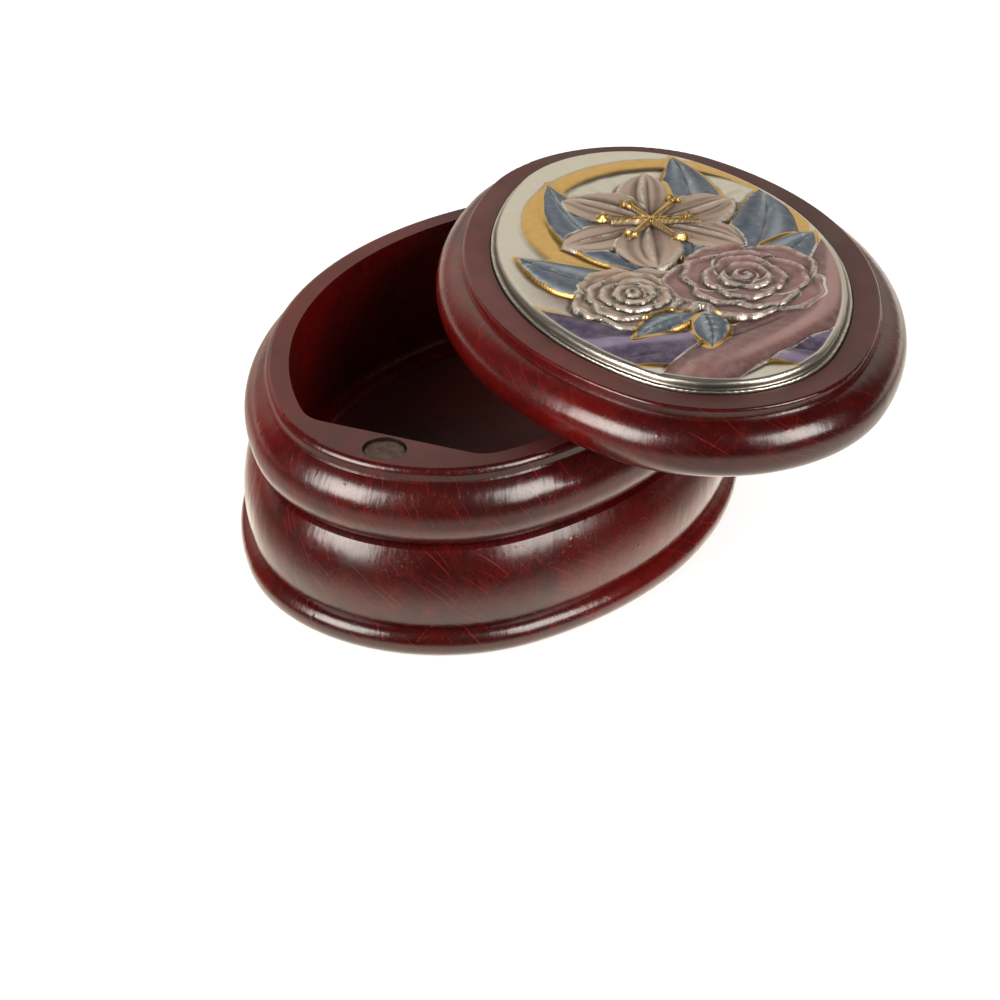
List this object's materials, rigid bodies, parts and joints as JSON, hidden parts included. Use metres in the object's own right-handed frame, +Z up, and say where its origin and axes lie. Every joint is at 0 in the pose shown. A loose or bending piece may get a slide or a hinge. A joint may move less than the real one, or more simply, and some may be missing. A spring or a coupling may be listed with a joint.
{
  "type": "swivel-lid keepsake box",
  "caption": "Oval moulded wooden keepsake box whose lid swivels on an upright pin, with a magnet catch and a relief plaque on the lid.",
  "frame": {"origin": "centre of the flat foot of the base, on the surface it stands on", "axes": "+Z up, +Y along the base's long axis towards the pivot pin, -Y towards the magnet catch, +X to the side the lid opens to"},
  "size_m": [0.0819, 0.0818, 0.0333],
  "materials": {
    "lacquered_wood": "cherry-red stain under gloss lacquer, satin on the flat faces",
    "magnet_metal": "dull plated disc",
    "pin_steel": "ground dowel",
    "plaque_resin": "cast filler",
    "plaque_silver": "satin silver sheet, pressed relief, partly gilt and enamelled"
  },
  "bodies": {
    "base": {"base_body": "lacquered_wood", "base_magnet": "magnet_metal", "pivot_pin": "pin_steel"},
    "lid": {"lid_body": "lacquered_wood", "lid_magnet": "magnet_metal", "plaque_core": "plaque_resin", "plaque_sheet": "plaque_silver"}
  },
  "joints": [
    {"name": "lid_swivel", "type": "hinge", "parent": "base", "child": "lid", "pos_m": [0, 0.0326, 0.0236], "axis": [0, 0, 1], "range_deg": [-38.3, 141.7]}
  ]
}
